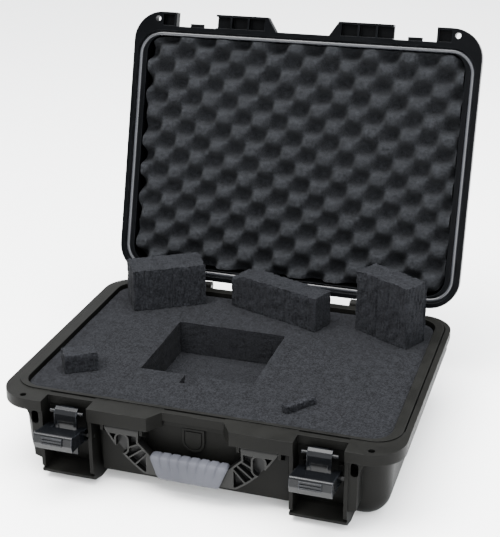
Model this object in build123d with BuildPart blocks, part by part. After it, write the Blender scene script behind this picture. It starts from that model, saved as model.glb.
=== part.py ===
from build123d import *
import os
from math import cos, radians, sin

os.makedirs("parts", exist_ok=True)

# An open hard equipment case. X runs to the right, Y to the back, Z up.
# The origin is the centre of the underside of the lower half.

# ---- shells -------------------------------------------------------------
RIM_WIDTH = 503.0            # outside of the rim flange
RIM_DEPTH = 364.0
RIM = 108.0                  # height of the parting plane
LID_TALL = 58.0              # lid above the parting plane
FLANGE_CORNER = 42.0
FLANGE_TALL = 11.0           # first step of the flange
STEP_INSET = 3.5             # second step, set in from the first
STEP_TALL = 17.0
PARTING_GAP = 0.3
BODY_WIDTH = 470.0           # walls below the flange
BODY_FRONT, BODY_BACK = -175.0, 172.0
BODY_CORNER = 33.0
DRAFT = 3.0                  # degrees, outside
INNER_DRAFT = 2.0            # degrees, inside
BOTTOM_ROUND = 28.0
INNER_WIDTH = 462.0
INNER_FRONT, INNER_BACK = -169.0, 166.0
INNER_CORNER = 26.0
INNER_ROUND = 22.0
FLOOR_THICK = 5.0
LIP_INSET = 7.0              # raised inner lip of the rim
LIP_TALL = 1.5
GROOVE_WIDE, GROOVE_DEEP = 1.6, 3.0

# ---- front of the case --------------------------------------------------
TAB_FRONT = -202.0           # front of ears and tabs
TAB_IN, TAB_OUT = 51.5, 128.0
TAB_SLOPE = 13.0             # how far its inner end slopes back
EAR_IN = 188.0
TAB_TALL = 18.0
EAR_TALL = 14.0
PADLOCK_X, PADLOCK_Y, PADLOCK_R = 216.5, -192.0, 4.0
PANEL_FRONT = -181.0         # raised front panel round the handle bay
PANEL_HALF = 118.0
BAY_HALF, BAY_LOW = 62.0, 28.0
PANEL_LOW = 16.0
LATCH_X = 158.0
RECESS_HALF = 30.0
RAIL_THICK = 4.5
RAIL_FRONT = -200.0
RAIL_LOW = 6.0
GUIDE_X = 21.0               # guides behind the claw, from the middle of the latch
GUIDE_HALF = 3.5
GUIDE_SLOT = 1.5             # half width of the slot in a guide
GUIDE_LOW, GUIDE_HIGH = 46.0, 74.0
BEHIND_WALL = BODY_FRONT + 14     # outer details start inside the wall, which the hollow then cleans
LEDGE = 16.0                 # top of the latch foot
BRACKET_FRONT, BRACKET_THICK = -198.0, 26.0   # bracket under an ear, with a deep oval pocket
BRACKET_OUT, BRACKET_BEND, BRACKET_LOW = 211.5, 74.0, 26.0
BRACKET_POCKET = 19.0

# ---- hinge --------------------------------------------------------------
HINGE_Y = 189.0
OPEN_ANGLE = 105.7
KNUCKLE_R = 6.5
PIN_R = 2.5
BORE_R = PIN_R + 0.05
HINGE_X = 140.0
KNUCKLE = 24.0               # length of one knuckle
KNUCKLE_GAP = 0.6
KNUCKLE_ARM = 20.0           # how far an arm of a knuckle reaches up or down the wall
PIN_HEAD = 1.3

# ---- handle -------------------------------------------------------------
HANDLE_Y = -191.0
HANDLE_Z = RIM - 25.0
HANDLE_THICK = 11.0
ARM_OUT, ARM_IN = 108.0, 64.0
GRIP_TOP, GRIP_LOW = RIM - 50.0, RIM - 81.0
GRIP_HALF_TOP, GRIP_HALF_LOW = 49.0, 37.5
GRIP_THICK = 19.0
GRIP_FORWARD = 3.0           # grip set forward of the bow
LUG_THICK = 3.5
LUG_GAP = 1.5                # between an arm and its lugs
ARM_MIDDLE = (ARM_IN + ARM_OUT) / 2
ARM_HALF = (ARM_OUT - ARM_IN) / 2

# ---- latches ------------------------------------------------------------
PIVOT_Y, PIVOT_Z = -192.0, RIM - 42.0
LEVER_LENGTH = 46.0
LEVER_HALF = 25.0
LEVER_LIFT = 13.0            # degrees above level when open
LEVER_OUTSIDE = 9.0          # outer face above the pivot line
LEVER_INSIDE = 3.0
EYE_R = 7.0
SLOT_HALF = 16.0             # opening in the lever for the claw
CURL = 3.0                   # rounded free end of the lever
APRON = 11.0                 # how far the free end hangs below the pivot line
CHEEK = 1.5                  # half thickness of a cheek
CLAW_HALF = 14.5
CLAW_FRONT, CLAW_BACK = -199.0, -195.0
WINDOW_HALF, WINDOW_DEEP = 10.0, 1.8      # shallow window in the front of the claw
HOOK_HALF = 7.5
TEE_HALF, TEE_R = 21.5, 2.2  # cross bar behind the top of the claw

# ---- foam ---------------------------------------------------------------
FOAM_HALF = 229.0
FOAM_FRONT, FOAM_BACK = -167.0, 163.0
FOAM_CORNER = 25.0
FOAM_TOP = RIM - 4.0
LAYER = 46.0                 # diced top layer
LOWER_INSET = 6.0            # lower layer, drawn in to clear the sloping walls
PAD = 11.4                   # pad on the floor
PAD_INSET = 23.0
FOAM_CLEAR = 0.3
CRATE_ABOVE = 5.0            # lid foam above the parting plane
POCKET = (-108.5, -75.0, 41.5, 69.0)     # left, front, right, back
NOTCH = (-48.0, -98.0, -28.5)            # left, front, right

# ---- pressure valve -----------------------------------------------------
VALVE_X, VALVE_Z = -1.0, RIM - 33.0
VALVE_R = 6.0
COVER_HALF = 14.0
COVER_THICK, COVER_BORDER = 3.0, 2.5


def plan(height, width, front, back, radius):
    """Rounded rectangle lying at a height."""
    with BuildSketch(Plane.XY.offset(height)) as outline:
        with Locations((0, (front + back) / 2)):
            RectangleRounded(width, back - front, radius)
    return outline.sketch


def inset_plan(height, inset):
    """The rim's outline at a height, drawn in by an inset."""
    half = RIM_DEPTH / 2 - inset
    return plan(height, RIM_WIDTH - 2 * inset, -half, half, FLANGE_CORNER - inset)


def body_plan(height):
    """The outline of the walls at a height."""
    return plan(height, BODY_WIDTH, BODY_FRONT, BODY_BACK, BODY_CORNER)


def inner_plan(height):
    """The outline of the inside of the walls."""
    return plan(height, INNER_WIDTH, INNER_FRONT, INNER_BACK, INNER_CORNER)


def foam_plan(height, inset=0.0):
    """The outline of a foam layer, drawn in by an inset."""
    return plan(height, 2 * (FOAM_HALF - inset), FOAM_FRONT + inset, FOAM_BACK - inset,
                FOAM_CORNER - inset / 2)


def ear_plan(height):
    """Both front ears: the rim's corner carried forward."""
    with BuildSketch(Plane.XY.offset(height)) as ears:
        with Locations((0, (TAB_FRONT + RIM_DEPTH / 2) / 2)):
            RectangleRounded(RIM_WIDTH, RIM_DEPTH / 2 - TAB_FRONT, FLANGE_CORNER)
        with Locations((0, 0)):
            Rectangle(2 * EAR_IN, 2 * RIM_DEPTH, mode=Mode.SUBTRACT)
        with Locations((0, RIM_DEPTH / 2 + FLANGE_CORNER)):
            Rectangle(2 * RIM_WIDTH, 2 * RIM_DEPTH, mode=Mode.SUBTRACT)
    return ears.sketch


def tab_plan(height, side):
    """A front tab, sloping back to the rim at its inner end."""
    with BuildSketch(Plane.XY.offset(height)) as tab:
        inner_end = side * (TAB_IN - TAB_SLOPE)
        with BuildLine():
            Polyline((side * TAB_OUT, INNER_FRONT), (side * TAB_OUT, TAB_FRONT), (side * TAB_IN, TAB_FRONT),
                     (inner_end, -RIM_DEPTH / 2), (inner_end, INNER_FRONT), close=True)
        make_face()
    return tab.sketch


def side_profile(x, *points):
    """A closed outline in Y and Z, standing across X."""
    with BuildSketch(Plane(origin=(x, 0, 0), x_dir=(0, 1, 0), z_dir=(1, 0, 0))) as profile:
        with BuildLine():
            Polyline(*points, close=True)
        make_face()
    return profile.sketch


def disc(x, y, z, radius):
    """A disc across X."""
    with BuildSketch(Plane(origin=(x, y, z), x_dir=(0, 1, 0), z_dir=(1, 0, 0))) as circle:
        Circle(radius)
    return circle.sketch


def cuboid(low, high, mode=Mode.ADD):
    """A box between two corners."""
    with Locations(tuple((a + b) / 2 for a, b in zip(low, high))):
        Box(*(b - a for a, b in zip(low, high)), mode=mode)


def save(part, label):
    """Label a finished piece and write it."""
    part.label = label
    export_step(part, f"parts/{label}.step")


def knuckle_arm(x, up):
    """Side of a knuckle's arm, rim to hinge line: up is 1 on the upper shell, -1 on the lower."""
    wall = RIM_DEPTH / 2
    return side_profile(x, (wall - 6, RIM + up * KNUCKLE_ARM), (wall - 1, RIM + up * KNUCKLE_ARM),
                        (HINGE_Y + KNUCKLE_R - 0.5, RIM + up * 2), (HINGE_Y, RIM),
                        (wall - 6, RIM + up * PARTING_GAP))


def ear_bracket(side):
    """The bracket under an ear, seen from the front."""
    rail = LATCH_X + RECESS_HALF + RAIL_THICK / 2
    with BuildSketch(Plane.XZ.offset(-BRACKET_FRONT)) as bracket:
        with BuildLine():
            Polyline((side * rail, RIM - EAR_TALL + 1), (side * BRACKET_OUT, RIM - EAR_TALL + 1),
                     (side * BRACKET_OUT, RIM - EAR_TALL))
            ThreePointArc((side * BRACKET_OUT, RIM - EAR_TALL), (side * (BRACKET_OUT - 5), 84),
                          (side * (BRACKET_OUT - 8), BRACKET_BEND))
            Polyline((side * (BRACKET_OUT - 8), BRACKET_BEND), (side * (BRACKET_OUT - 9), BRACKET_LOW + 4),
                     (side * rail, BRACKET_LOW), (side * rail, RIM - EAR_TALL + 1))
        make_face()
    return bracket.sketch


def bracket_pocket(side):
    """The oval pocket in a bracket, seen from the front."""
    with BuildSketch(Plane.XZ.offset(-BRACKET_FRONT)) as pocket:
        with Locations((side * (LATCH_X + RECESS_HALF + RAIL_THICK + 6.5), 83)):
            SlotOverall(18, 9, rotation=90)
    return pocket.sketch


def hinge_spans():
    """For each hinge: its centre, and the near and far end of each base knuckle."""
    reach = 1.5 * KNUCKLE + KNUCKLE_GAP
    return [(x, (x - reach, x + KNUCKLE / 2 + KNUCKLE_GAP)) for x in (-HINGE_X, HINGE_X)]


# ---- lower shell --------------------------------------------------------
with BuildPart() as hollow:
    extrude(inner_plan(RIM + LIP_TALL + 1), amount=-(RIM + LIP_TALL + 1 - FLOOR_THICK), taper=INNER_DRAFT)
    fillet(hollow.faces().sort_by(Axis.Z)[0].edges(), INNER_ROUND)

with BuildPart() as base_shell:
    wall_tall = RIM - FLANGE_TALL - STEP_TALL
    extrude(body_plan(wall_tall), amount=-wall_tall, taper=DRAFT)
    fillet(base_shell.faces().sort_by(Axis.Z)[0].edges(), BOTTOM_ROUND)
    extrude(inset_plan(RIM - FLANGE_TALL - STEP_TALL, STEP_INSET), amount=STEP_TALL)
    extrude(inset_plan(RIM - FLANGE_TALL, 0), amount=FLANGE_TALL)
    extrude(inset_plan(RIM, LIP_INSET), amount=-GROOVE_DEEP, mode=Mode.SUBTRACT)
    extrude(inset_plan(RIM - GROOVE_DEEP, LIP_INSET + GROOVE_WIDE), amount=GROOVE_DEEP + LIP_TALL)
    # ears with their brackets, tabs, raised panel with the handle bay
    extrude(ear_plan(RIM - EAR_TALL), amount=EAR_TALL)
    for side in (-1, 1):
        extrude(ear_bracket(side), amount=-BRACKET_THICK)
        extrude(bracket_pocket(side), amount=-BRACKET_POCKET, mode=Mode.SUBTRACT)
        extrude(tab_plan(RIM - TAB_TALL, side), amount=TAB_TALL)
    cuboid((-PANEL_HALF, PANEL_FRONT, PANEL_LOW), (PANEL_HALF, BEHIND_WALL, RIM - TAB_TALL))
    cuboid((-BAY_HALF, PANEL_FRONT, BAY_LOW), (BAY_HALF, BODY_FRONT, RIM - TAB_TALL), mode=Mode.SUBTRACT)
    # latch bays: two rails, a foot below and two guides behind the claw
    for centre in (-LATCH_X, LATCH_X):
        for side in (-1, 1):
            rail_x = centre + side * (RECESS_HALF + RAIL_THICK / 2)
            rail = side_profile(rail_x, (BEHIND_WALL, RIM - 10), (RAIL_FRONT, RIM - 12),
                                (RAIL_FRONT, LEDGE + 2), (RAIL_FRONT + 6, 12), (BEHIND_WALL, RAIL_LOW))
            extrude(rail, amount=RAIL_THICK / 2, both=True)
            guide_x = centre + side * GUIDE_X
            cuboid((guide_x - GUIDE_HALF, BODY_FRONT - 3, GUIDE_LOW),
                   (guide_x + GUIDE_HALF, BEHIND_WALL, GUIDE_HIGH))
            cuboid((guide_x - GUIDE_SLOT, BODY_FRONT - 4, GUIDE_LOW - 1),
                   (guide_x + GUIDE_SLOT, BODY_FRONT - 0.5, GUIDE_HIGH - 2), mode=Mode.SUBTRACT)
        foot = side_profile(centre, (BEHIND_WALL + 11, 0.5), (BEHIND_WALL + 11, 2), (BEHIND_WALL, LEDGE + 1),
                            (BODY_FRONT, LEDGE + 1), (RAIL_FRONT, LEDGE - 3), (RAIL_FRONT + 1, 9),
                            (RAIL_FRONT + 6, 6), (BODY_FRONT, 0.5))
        extrude(foot, amount=RECESS_HALF + RAIL_THICK, both=True)
    # hinge knuckles
    for centre, starts in hinge_spans():
        for start in starts:
            extrude(knuckle_arm(start + KNUCKLE / 2, -1), amount=KNUCKLE / 2, both=True)
            extrude(disc(start + KNUCKLE / 2, HINGE_Y, RIM, KNUCKLE_R), amount=KNUCKLE / 2, both=True)
    # handle lugs, under the tabs
    for side in (-1, 1):
        for edge in (ARM_IN - LUG_GAP - LUG_THICK / 2, ARM_OUT + LUG_GAP + LUG_THICK / 2):
            lug = side_profile(side * edge, (BEHIND_WALL, RIM - TAB_TALL + 1),
                               (HANDLE_Y - 6, RIM - TAB_TALL + 1), (HANDLE_Y - 6, HANDLE_Z - 3),
                               (HANDLE_Y, HANDLE_Z - 7), (BEHIND_WALL, HANDLE_Z - 26))
            extrude(lug, amount=LUG_THICK / 2, both=True)
    add(hollow.part, mode=Mode.SUBTRACT)
    # bores for the hinge, handle and lever pins, the padlock and the valve
    for centre, starts in hinge_spans():
        extrude(disc(centre, HINGE_Y, RIM, BORE_R), amount=2 * KNUCKLE, both=True, mode=Mode.SUBTRACT)
    for side in (-1, 1):
        extrude(disc(side * ARM_MIDDLE, HANDLE_Y, HANDLE_Z, BORE_R), amount=ARM_HALF + LUG_GAP + 7,
                both=True, mode=Mode.SUBTRACT)
        extrude(disc(side * LATCH_X, PIVOT_Y, PIVOT_Z, BORE_R), amount=RECESS_HALF + RAIL_THICK + 2,
                both=True, mode=Mode.SUBTRACT)
        with Locations((side * PADLOCK_X, PADLOCK_Y, RIM - EAR_TALL / 2)):
            Cylinder(PADLOCK_R, EAR_TALL + 2, mode=Mode.SUBTRACT)
    with BuildSketch(Plane.XZ.offset(-INNER_FRONT - 5)):
        with Locations((VALVE_X, VALVE_Z)):
            Circle(VALVE_R)
    extrude(amount=20, mode=Mode.SUBTRACT)
save(base_shell.part, "base_shell")

# ---- upper shell, in its shut place until it is turned open --------------
LID_LOW = RIM + PARTING_GAP
LID_TOP = RIM + LID_TALL
LID_STEP = 12.0              # first step of the lid rim
LID_STEP_2 = 24.0
LID_ROOF = 5.5
LID_ROUND = 12.0
ROOF_PANEL = (390.0, 254.0, 1.5)     # raised panel on the roof
KEEPER_HALF = 10.0           # lug that the claw hooks over
TAB_POCKET = 25.5            # pitch of the hollows under a tab
TAB_RIB = 2.5
HOLLOW_TALL = 9.0
SEAL_R = 2.8
SEAL_INSET = 11.0
LID_SEAT = RIM + LIP_TALL + PARTING_GAP + 0.5
open_axis = Axis((0, HINGE_Y, RIM), (-1, 0, 0))

with BuildPart() as lid_hollow:
    extrude(inner_plan(RIM), amount=LID_TALL - LID_ROOF)
    fillet(lid_hollow.faces().sort_by(Axis.Z)[-1].edges(), 8)

with BuildPart() as lid_shut:
    extrude(body_plan(LID_LOW), amount=LID_TOP - LID_LOW, taper=DRAFT)
    fillet(lid_shut.faces().sort_by(Axis.Z)[-1].edges(), LID_ROUND)
    extrude(inset_plan(LID_LOW, STEP_INSET), amount=LID_STEP_2)
    extrude(inset_plan(LID_LOW, 0), amount=LID_STEP)
    extrude(ear_plan(LID_LOW), amount=EAR_TALL)
    for side in (-1, 1):
        extrude(tab_plan(LID_LOW, side), amount=EAR_TALL)
        cuboid((side * LATCH_X - KEEPER_HALF, -RIM_DEPTH / 2 - 5, RIM + 6),
               (side * LATCH_X + KEEPER_HALF, -RIM_DEPTH / 2 + 1, RIM + 10))
    with BuildSketch(Plane.XY.offset(LID_TOP)):
        RectangleRounded(ROOF_PANEL[0], ROOF_PANEL[1], 18)
    extrude(amount=ROOF_PANEL[2])
    # knuckles between those of the lower shell
    for centre, starts in hinge_spans():
        extrude(knuckle_arm(centre, 1), amount=KNUCKLE / 2, both=True)
        extrude(disc(centre, HINGE_Y, RIM, KNUCKLE_R), amount=KNUCKLE / 2, both=True)
        extrude(disc(centre, HINGE_Y, RIM, BORE_R), amount=KNUCKLE, both=True, mode=Mode.SUBTRACT)
    add(lid_hollow.part, mode=Mode.SUBTRACT)
    # rim channel: room for the raised inner lip below, then the groove of the seal
    extrude(inset_plan(RIM, LIP_INSET - 0.6), amount=LID_SEAT - RIM, mode=Mode.SUBTRACT)
    with BuildSketch(Plane.XY.offset(LID_SEAT)) as groove:
        add(inset_plan(LID_SEAT, SEAL_INSET - SEAL_R - 0.3))
        add(inset_plan(LID_SEAT, SEAL_INSET + SEAL_R + 0.3), mode=Mode.SUBTRACT)
    extrude(groove.sketch, amount=4.5, mode=Mode.SUBTRACT)
    # hollows in the underside of ears and tabs, with ribs between, and the padlock hole
    hollow_front, hollow_back = TAB_FRONT + 3, -RIM_DEPTH / 2 - 1
    for side in (-1, 1):
        starts = [TAB_IN + 4 + k * TAB_POCKET for k in range(3)]
        spans = [(start, start + TAB_POCKET - TAB_RIB) for start in starts]
        for near, far in spans + [(EAR_IN + 3, PADLOCK_X - 8)]:
            low, high = sorted((side * near, side * far))
            cuboid((low, hollow_front, RIM), (high, hollow_back, RIM + HOLLOW_TALL), mode=Mode.SUBTRACT)
        with Locations((side * PADLOCK_X, PADLOCK_Y, RIM + EAR_TALL / 2)):
            Cylinder(PADLOCK_R, EAR_TALL + 2, mode=Mode.SUBTRACT)
lid_shell = lid_shut.part.rotate(open_axis, OPEN_ANGLE)
save(lid_shell, "lid_shell")

with BuildPart() as seal_shut:
    seal_z = LID_SEAT + SEAL_R + 0.2
    with BuildSketch(Plane.XY.offset(seal_z - SEAL_R)) as ring:
        add(inset_plan(seal_z - SEAL_R, SEAL_INSET - SEAL_R))
        add(inset_plan(seal_z - SEAL_R, SEAL_INSET + SEAL_R), mode=Mode.SUBTRACT)
    extrude(ring.sketch, amount=2 * SEAL_R - 1.6)
    fillet(seal_shut.faces().sort_by(Axis.Z)[0].edges(), SEAL_R - 0.4)
save(seal_shut.part.rotate(open_axis, OPEN_ANGLE), "lid_gasket")

with BuildPart() as lid_foam_shut:
    extrude(foam_plan(RIM + CRATE_ABOVE), amount=LID_TALL - LID_ROOF - CRATE_ABOVE - FOAM_CLEAR)
    chamfer(lid_foam_shut.faces().sort_by(Axis.Z)[-1].edges(), 6)
save(lid_foam_shut.part.rotate(open_axis, OPEN_ANGLE), "lid_foam")

# ---- hinge pins -----------------------------------------------------------
for name, (centre, starts) in zip(("left", "right"), hinge_spans()):
    with BuildPart() as hinge_pin:
        length = 3 * KNUCKLE + 2 * KNUCKLE_GAP
        extrude(disc(centre, HINGE_Y, RIM, PIN_R), amount=length / 2, both=True)
        extrude(disc(centre - length / 2, HINGE_Y, RIM, PIN_R + PIN_HEAD), amount=-1.5)
        chamfer(hinge_pin.faces().sort_by(Axis.X)[-1].edges(), 0.5)
    save(hinge_pin.part, f"hinge_pin_{name}")

# ---- foam -----------------------------------------------------------------
layer_low = FOAM_TOP - LAYER
pad_low = FLOOR_THICK + FOAM_CLEAR

with BuildPart() as foam_bottom_pad:
    extrude(foam_plan(pad_low, PAD_INSET), amount=PAD)
save(foam_bottom_pad.part, "foam_bottom_pad")

with BuildPart() as foam_lower_layer:
    lower_low = pad_low + PAD + FOAM_CLEAR
    extrude(foam_plan(lower_low, LOWER_INSET), amount=layer_low - FOAM_CLEAR - lower_low)
    chamfer(foam_lower_layer.faces().sort_by(Axis.Z)[0].edges(), 4)
save(foam_lower_layer.part, "foam_lower_layer")

with BuildPart() as foam_top_layer:
    extrude(foam_plan(layer_low), amount=LAYER)
    cuboid((POCKET[0], POCKET[1], layer_low), (POCKET[2], POCKET[3], FOAM_TOP), mode=Mode.SUBTRACT)
    cuboid((NOTCH[0], NOTCH[1], layer_low), (NOTCH[2], POCKET[1], FOAM_TOP), mode=Mode.SUBTRACT)
save(foam_top_layer.part, "foam_top_layer")

# Loose blocks pulled out of the pocket: front left corner, turn, then length, thickness and height.
BLOCKS = {
    "foam_block_left": ((-182.3, 80.8), 31.6, (104, 53, 60)),
    "foam_block_middle": ((-59.4, 142.8), -20.4, (146, 37, 49)),
    "foam_block_right": ((124.5, 119.5), -29.3, (90, 39.5, 86)),
    "foam_block_small": ((-193.8, -122.1), 33.1, (44, 28, 25)),
    "foam_block_bar": ((102.2, -135.7), 53.7, (45, 10, 9.5)),
}
for name, (corner, turn, size) in BLOCKS.items():
    lean = Plane.XY.offset(FOAM_TOP + FOAM_CLEAR) * Location((corner[0], corner[1], 0), (0, 0, turn))
    with BuildPart() as block:
        with BuildSketch(Plane(lean)):
            Rectangle(size[0], size[1], align=(Align.MIN, Align.MIN))
        extrude(amount=size[2])
        # a block that overhangs the back rim is dented by it
        cuboid((-INNER_WIDTH / 2, INNER_BACK - 1, RIM - 20), (INNER_WIDTH / 2, HINGE_Y, RIM + LIP_TALL + 0.5),
               mode=Mode.SUBTRACT)
    save(block.part, name)

# ---- handle ---------------------------------------------------------------
ARM_HIGH = HANDLE_Z + HANDLE_THICK / 2 - 0.1
BAR_LOW, BAR_HIGH = GRIP_LOW + 2, GRIP_TOP - 4
FRONT_OF_HANDLE = HANDLE_Y - HANDLE_THICK / 2
RIB = 2.2                    # thin rims and webs of the arms
POCKET_DEEP = 8.0


def arm_outline(side):
    """One arm of the bow, seen from the front, down to the end of the bar."""
    with BuildSketch(Plane.XZ.offset(-FRONT_OF_HANDLE)) as arm:
        with BuildLine():
            Polyline((side * 40, BAR_HIGH), (side * GRIP_HALF_TOP, BAR_HIGH), (side * (ARM_IN + 1), RIM - 38),
                     (side * ARM_IN, HANDLE_Z), (side * ARM_IN, ARM_HIGH), (side * ARM_OUT, ARM_HIGH),
                     (side * ARM_OUT, HANDLE_Z))
            ThreePointArc((side * ARM_OUT, HANDLE_Z), (side * 87, RIM - 54), (side * 58, BAR_LOW))
            Polyline((side * 58, BAR_LOW), (side * 40, BAR_LOW), (side * 40, BAR_HIGH))
        make_face()
    return arm.sketch


def arm_pockets(side):
    """The hollows in the front of an arm, between its rims, webs and the loop round its eye."""
    with BuildSketch(Plane.XZ.offset(-FRONT_OF_HANDLE)) as hollows:
        add(arm_outline(side))
        offset(amount=-RIB, mode=Mode.REPLACE)
        with Locations((side * 40, BAR_LOW)):
            Rectangle(30, 90, mode=Mode.SUBTRACT)
        # webs across the lower arm
        for x, z, turn in ((83, RIM - 50, 62), (74, RIM - 58, 52), (65, RIM - 64, 42)):
            with Locations(Location((side * x, z), side * (turn + 90))):
                Rectangle(60, 1.8, mode=Mode.SUBTRACT)
        # a thin loop hanging below the band that holds the pin
        with Locations((side * ARM_MIDDLE, HANDLE_Z - 18)):
            SlotOverall(30, 19, rotation=90, mode=Mode.SUBTRACT)
            SlotOverall(30 - 2 * RIB, 19 - 2 * RIB, rotation=90)
        with Locations((side * ARM_MIDDLE, HANDLE_Z)):
            Rectangle(60, 11, mode=Mode.SUBTRACT)
    return hollows.sketch


with BuildPart() as handle_frame:
    for side in (-1, 1):
        extrude(arm_outline(side), amount=-HANDLE_THICK)
    cuboid((-40, FRONT_OF_HANDLE, BAR_LOW), (40, FRONT_OF_HANDLE + HANDLE_THICK, BAR_HIGH))
    fillet(handle_frame.edges().filter_by(Axis.X).group_by(Axis.Z)[-1], HANDLE_THICK / 2 - 0.4)
    for side in (-1, 1):
        extrude(arm_pockets(side), amount=-POCKET_DEEP, mode=Mode.SUBTRACT)
        extrude(disc(side * ARM_MIDDLE, HANDLE_Y, HANDLE_Z, BORE_R), amount=ARM_HALF + 2, both=True,
                mode=Mode.SUBTRACT)
save(handle_frame.part, "handle_frame")

with BuildPart() as handle_grip:
    with BuildSketch(Plane.XZ.offset(-HANDLE_Y + GRIP_THICK / 2 + GRIP_FORWARD)):
        with BuildLine():
            Polyline((-GRIP_HALF_TOP, GRIP_TOP), (GRIP_HALF_TOP, GRIP_TOP), (GRIP_HALF_LOW, GRIP_LOW),
                     (-GRIP_HALF_LOW, GRIP_LOW), close=True)
        make_face()
    extrude(amount=-GRIP_THICK)
    fillet(handle_grip.edges().filter_by(Axis.X), 1.8)
    cuboid((-GRIP_HALF_TOP - 1, FRONT_OF_HANDLE, BAR_LOW),
           (GRIP_HALF_TOP + 1, FRONT_OF_HANDLE + HANDLE_THICK, BAR_HIGH), mode=Mode.SUBTRACT)
save(handle_grip.part, "handle_grip")

for name, side in (("left", -1), ("right", 1)):
    with BuildPart() as handle_pin:
        extrude(disc(side * ARM_MIDDLE, HANDLE_Y, HANDLE_Z, PIN_R), amount=ARM_HALF + LUG_GAP + LUG_THICK,
                both=True)
        chamfer(handle_pin.edges(), 0.4)
    save(handle_pin.part, f"handle_pin_{name}")

# ---- latches ----------------------------------------------------------------
LOCK_LOW = -4.0              # lowest rib, from the pivot line
LOCK_RIB = 3.6               # pitch of its three ribs
LOCK_HALF = 13.0
for name, centre in (("left", -LATCH_X), ("right", LATCH_X)):
    along = (0, -cos(radians(LEVER_LIFT)), sin(radians(LEVER_LIFT)))
    lever_plane = Plane(origin=(centre, PIVOT_Y, PIVOT_Z), x_dir=along, z_dir=(-1, 0, 0))
    with BuildPart() as lever:
        # the plate with its curled free end and the apron under it
        with BuildSketch(lever_plane):
            with BuildLine():
                Polyline((0, LEVER_INSIDE), (0, LEVER_OUTSIDE), (LEVER_LENGTH - CURL, LEVER_OUTSIDE))
                RadiusArc((LEVER_LENGTH - CURL, LEVER_OUTSIDE), (LEVER_LENGTH, LEVER_OUTSIDE - CURL), CURL)
                Polyline((LEVER_LENGTH, LEVER_OUTSIDE - CURL), (LEVER_LENGTH, -3), (LEVER_LENGTH - 5, -APRON),
                         (LEVER_LENGTH - 8, -APRON), (LEVER_LENGTH - 5, LEVER_INSIDE), (0, LEVER_INSIDE))
            make_face()
        extrude(amount=LEVER_HALF, both=True)
        with BuildSketch(lever_plane):
            Circle(EYE_R)
        extrude(amount=LEVER_HALF, both=True)
        # cheeks down each side
        for side in (-1, 1):
            with BuildSketch(lever_plane.offset(side * (LEVER_HALF - CHEEK))):
                with BuildLine():
                    Polyline((0, LEVER_OUTSIDE - 1), (0, -5), (LEVER_LENGTH - 6, -APRON + 1),
                             (LEVER_LENGTH - 2, LEVER_INSIDE + 2), close=True)
                make_face()
            extrude(amount=CHEEK, both=True)
        # way through for the claw
        with BuildSketch(lever_plane):
            with Locations((3, 0)):
                Rectangle(27, 30)
        extrude(amount=SLOT_HALF, both=True, mode=Mode.SUBTRACT)
        with BuildSketch(lever_plane):
            Circle(BORE_R)
        extrude(amount=2 * LEVER_HALF, both=True, mode=Mode.SUBTRACT)
    save(lever.part, f"latch_lever_{name}")

    with BuildPart() as lock:
        # a thin plate on the free end, with three ribs along it
        with BuildSketch(lever_plane.offset(-LOCK_HALF)):
            near, far = LEVER_LENGTH + 0.3, LEVER_LENGTH + 2.9
            rib = ((far - 1.4, 0), (far, 0.7), (far, 2.3), (far - 1.4, 3.0))
            corners = [(x, LOCK_LOW + k * LOCK_RIB + step) for k in range(3) for x, step in rib]
            with BuildLine():
                Polyline((near, LOCK_LOW), *corners, (near, corners[-1][1]), close=True)
            make_face()
        extrude(amount=2 * LOCK_HALF)
    save(lock.part, f"latch_lock_{name}")

    with BuildPart() as claw:
        top = RIM - 9
        body = side_profile(centre, (CLAW_FRONT, top - 58), (CLAW_FRONT, top - 6), (-196, top - 1),
                            (-192, top + 1), (-187, top), (-184, top - 2), (-184, top - 5), (-188, top - 4),
                            (-192, top - 4),
                            (CLAW_BACK, top - 8), (CLAW_BACK, top - 58))
        extrude(body, amount=CLAW_HALF, both=True)
        window = side_profile(centre, (CLAW_FRONT - 1, 64), (CLAW_FRONT, 66), (CLAW_FRONT + WINDOW_DEEP, 70),
                              (CLAW_FRONT + WINDOW_DEEP, 83), (CLAW_FRONT - 1, 84))
        extrude(window, amount=WINDOW_HALF, both=True, mode=Mode.SUBTRACT)
        # only the middle of the hook reaches back over the keeper
        for side in (-1, 1):
            low, high = sorted((centre + side * HOOK_HALF, centre + side * (CLAW_HALF + 1)))
            cuboid((low, -190.5, top - 12), (high, -180, top + 4), mode=Mode.SUBTRACT)
        extrude(disc(centre, CLAW_BACK + 1.5, top - 5, TEE_R), amount=TEE_HALF, both=True)
    save(claw.part, f"latch_claw_{name}")

    with BuildPart() as lever_pin:
        extrude(disc(centre, PIVOT_Y, PIVOT_Z, PIN_R), amount=RECESS_HALF + RAIL_THICK - 0.2, both=True)
        chamfer(lever_pin.edges(), 0.4)
    save(lever_pin.part, f"latch_pin_{name}")

# ---- pressure valve ---------------------------------------------------------
with BuildPart() as valve_body:
    with BuildSketch(Plane.XZ.offset(-INNER_FRONT + 0.2)):
        with Locations((VALVE_X, VALVE_Z)):
            Circle(VALVE_R - 0.1)
            Circle(2, mode=Mode.SUBTRACT)
    extrude(amount=BODY_FRONT * -1 + INNER_FRONT - 1.5)
save(valve_body.part, "valve_body")

with BuildPart() as valve_membrane:
    with BuildSketch(Plane.XZ.offset(-BODY_FRONT - 1.1)):
        with Locations((VALVE_X, VALVE_Z)):
            Circle(VALVE_R - 0.6)
    extrude(amount=0.8)
save(valve_membrane.part, "valve_membrane")

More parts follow.
